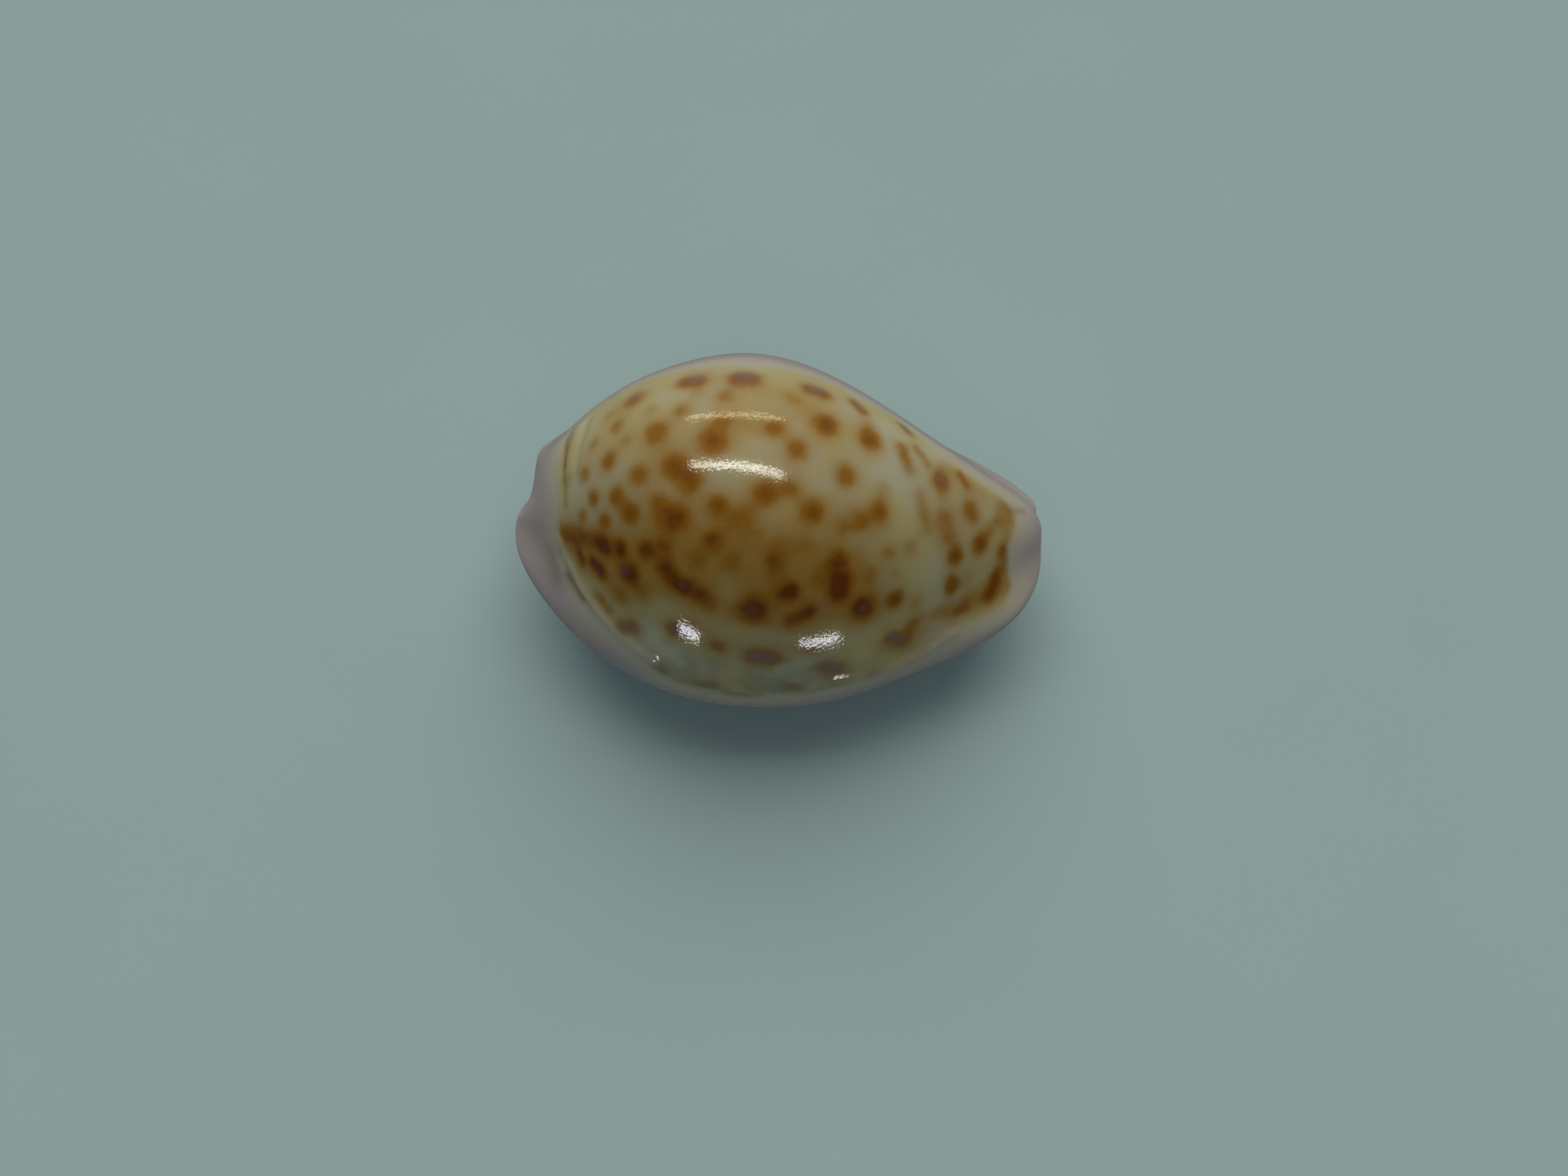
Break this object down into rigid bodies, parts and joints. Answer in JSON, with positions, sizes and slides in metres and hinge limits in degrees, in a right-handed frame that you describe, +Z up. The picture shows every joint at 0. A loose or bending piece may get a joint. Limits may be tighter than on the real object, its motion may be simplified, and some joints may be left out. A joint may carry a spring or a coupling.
{
  "type": "cowrie shell",
  "caption": "Small glossy spotted cowrie shell: high dome with callused margins, a narrow toothed slit underneath and a notch at each end.",
  "frame": {"origin": "middle of the shell's box, on the plane it rests on", "axes": "+X to the front (anterior) end, +Y to the columellar side, +Z up through the domed back"},
  "size_m": [0.03, 0.0204, 0.0163],
  "materials": {
    "shell_enamel": "naturally polished enamel, cream with brown spots, lilac-white margins and white base"
  },
  "bodies": {
    "root": {"cowrie_shell": "shell_enamel"}
  },
  "joints": []
}
